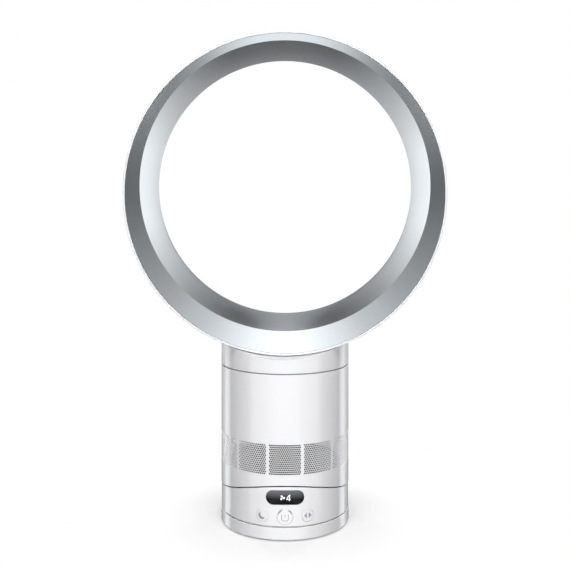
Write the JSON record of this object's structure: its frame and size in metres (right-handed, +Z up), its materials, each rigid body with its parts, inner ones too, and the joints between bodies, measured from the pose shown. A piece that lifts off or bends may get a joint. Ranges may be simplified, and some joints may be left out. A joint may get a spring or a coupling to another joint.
{
  "type": "bladeless fan",
  "caption": "Bladeless desk fan: a ring nozzle on a round column with a perforated inlet band, which tilts and oscillates on its base, with a display and push buttons.",
  "frame": {"origin": "on the table, under the middle of the column", "axes": "+Z up, -Y towards the front with the display, +X to the right as seen from the front"},
  "size_m": [0.3564, 0.146, 0.5515],
  "materials": {
    "white_casing": "moulded ABS, semi-gloss white",
    "silver_lacquer": "moulded ABS with silver metallic lacquer",
    "black_window": "polished smoked acrylic",
    "grey_plastic": "moulded polypropylene",
    "dark_plastic": "glass-filled nylon",
    "acetal": "natural acetal",
    "foot_rubber": "moulded rubber",
    "foam": "open-cell acoustic foam",
    "steel": "zinc-plated steel",
    "circuit_board": "glass-epoxy board"
  },
  "bodies": {
    "base": {"base_shell": "white_casing", "base_floor": "dark_plastic", "foot_ring": "foot_rubber", "cable_gland": "foot_rubber", "thrust_ring": "acetal", "fixed_gear": "acetal", "pivot_clip": "steel"},
    "control_section": {"control_housing": "white_casing", "control_floor": "dark_plastic", "display_window": "black_window", "display_module": "dark_plastic", "switch_board": "circuit_board", "control_board": "circuit_board", "drive_motor": "steel", "tilt_cradle": "grey_plastic"},
    "pinion": {"drive_pinion": "acetal"},
    "sleep_key": {"sleep_button": "white_casing"},
    "power_key": {"power_button": "white_casing"},
    "oscillate_key": {"oscillate_button": "white_casing"},
    "column": {"body_casing": "white_casing", "tilt_shoe": "grey_plastic", "tilt_keeper_left": "steel", "tilt_keeper_right": "steel", "fan_board": "circuit_board", "inlet_foam": "foam", "inlet_bellmouth": "grey_plastic", "fan_housing": "grey_plastic", "lip_seal": "foot_rubber", "bucket_lower": "dark_plastic", "bucket_upper": "dark_plastic", "fan_motor": "steel", "diffuser": "dark_plastic", "outlet_foam": "foam", "top_ring": "grey_plastic", "neck_seal": "foot_rubber", "nozzle_outer_casing": "white_casing", "nozzle_inner_casing": "silver_lacquer"},
    "rotor": {"impeller": "dark_plastic", "impeller_shroud": "dark_plastic", "rotor_shaft": "steel"}
  },
  "joints": [
    {"name": "oscillation", "type": "hinge", "parent": "base", "child": "control_section", "pos_m": [0, 0, 0.0156], "axis": [0, 0, 1], "range_deg": [-35, 35]},
    {"name": "pinion_turn", "type": "hinge", "parent": "control_section", "child": "pinion", "pos_m": [0, 0.048, 0.0084], "axis": [0, 0, 1], "range_deg": [-105, 105]},
    {"name": "tilt", "type": "hinge", "parent": "control_section", "child": "column", "pos_m": [0, 0, 0.2185], "axis": [1, 0, 0], "range_deg": [-10, 10]},
    {"name": "fan_spin", "type": "hinge", "parent": "column", "child": "rotor", "pos_m": [0, 0, 0.12], "axis": [0, 0, 1], "continuous": true},
    {"name": "sleep_press", "type": "slide", "parent": "control_section", "child": "sleep_key", "axis": [0.3387, 0.9409, 0], "range_m": [0, 0.0008], "stiffness_N_per_m": 1500},
    {"name": "power_press", "type": "slide", "parent": "control_section", "child": "power_key", "axis": [0, 1, 0], "range_m": [0, 0.0008], "stiffness_N_per_m": 1500},
    {"name": "oscillate_press", "type": "slide", "parent": "control_section", "child": "oscillate_key", "axis": [-0.3387, 0.9409, 0], "range_m": [0, 0.0008], "stiffness_N_per_m": 1500}
  ],
  "couplings": [
    {"joint": "pinion_turn", "follows": "oscillation", "ratio": 3}
  ]
}
